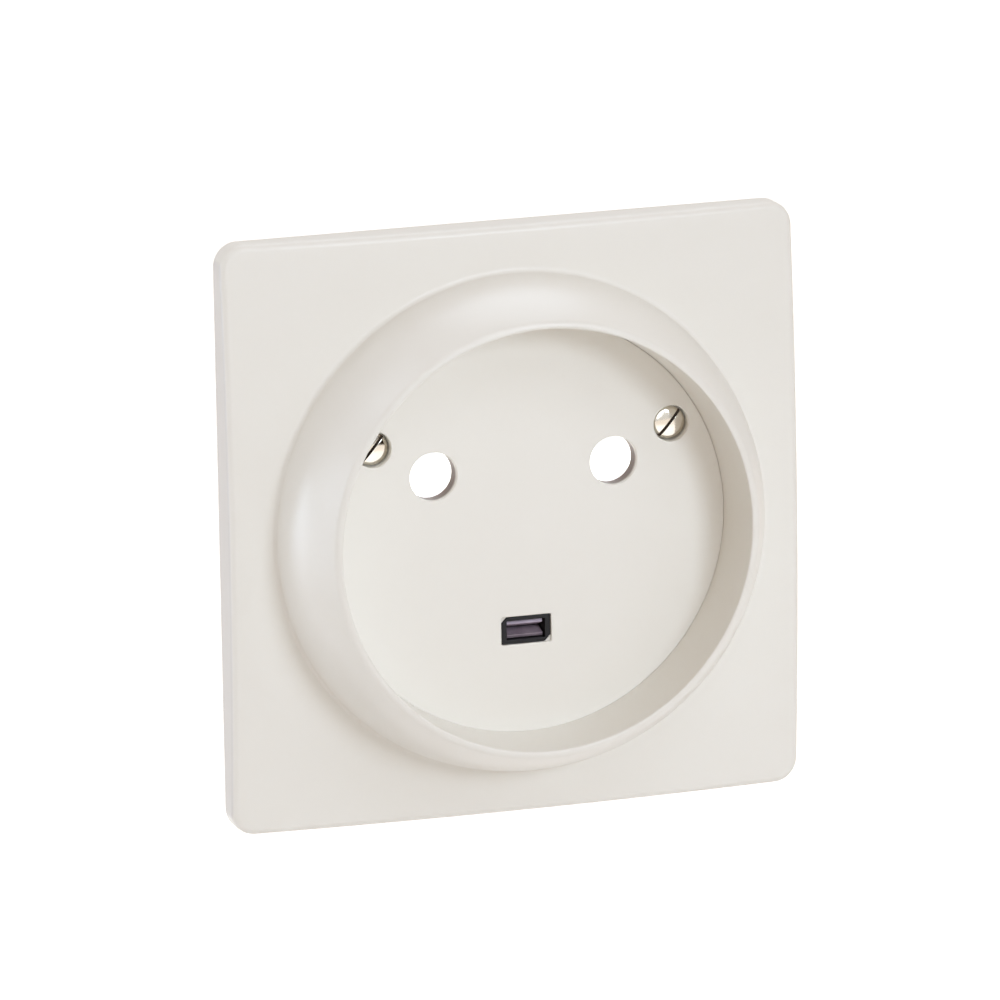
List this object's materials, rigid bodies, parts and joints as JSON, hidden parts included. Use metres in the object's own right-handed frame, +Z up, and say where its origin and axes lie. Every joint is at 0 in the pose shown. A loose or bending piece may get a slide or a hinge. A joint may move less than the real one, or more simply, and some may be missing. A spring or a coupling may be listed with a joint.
{
  "type": "recessed wall socket",
  "caption": "Square flush wall socket: crowned plate with a raised round plug recess, shuttered round pin holes, a flat earth slot and a screw-fixed base behind.",
  "frame": {"origin": "centre of the mounting yoke's back face, in the plane of the wall", "axes": "+Z up, -Y to the front and out of the wall, +X to the right seen from the front"},
  "size_m": [0.08, 0.0483, 0.08],
  "materials": {
    "ivory_plastic": "smooth, softly glossy",
    "white_plastic": "smooth",
    "black_plastic": "matte moulded",
    "nickel_plate": "bright nickel",
    "brass": "plain",
    "tinned_brass": "dull tinned",
    "steel": "zinc plated"
  },
  "bodies": {
    "socket": {"cover_plate": "ivory_plastic", "socket_front": "ivory_plastic", "cover_screws": "nickel_plate", "shutter_spring": "steel", "yoke": "steel", "yoke_screws": "steel", "base_housing": "black_plastic", "base_back": "black_plastic", "back_screws": "steel", "line_contact": "brass", "neutral_contact": "brass", "contact_springs": "steel", "earth_contact": "tinned_brass", "line_terminal": "brass", "neutral_terminal": "brass", "earth_terminal": "brass", "terminal_screws": "steel"},
    "safety_shutter": {"shutter": "white_plastic"}
  },
  "joints": [
    {"name": "shutter_slide", "type": "slide", "parent": "socket", "child": "safety_shutter", "axis": [0, 0, -1], "range_m": [0, 0.0074], "stiffness_N_per_m": 80, "springref_m": -0.004, "deforming": ["shutter_spring"]}
  ]
}
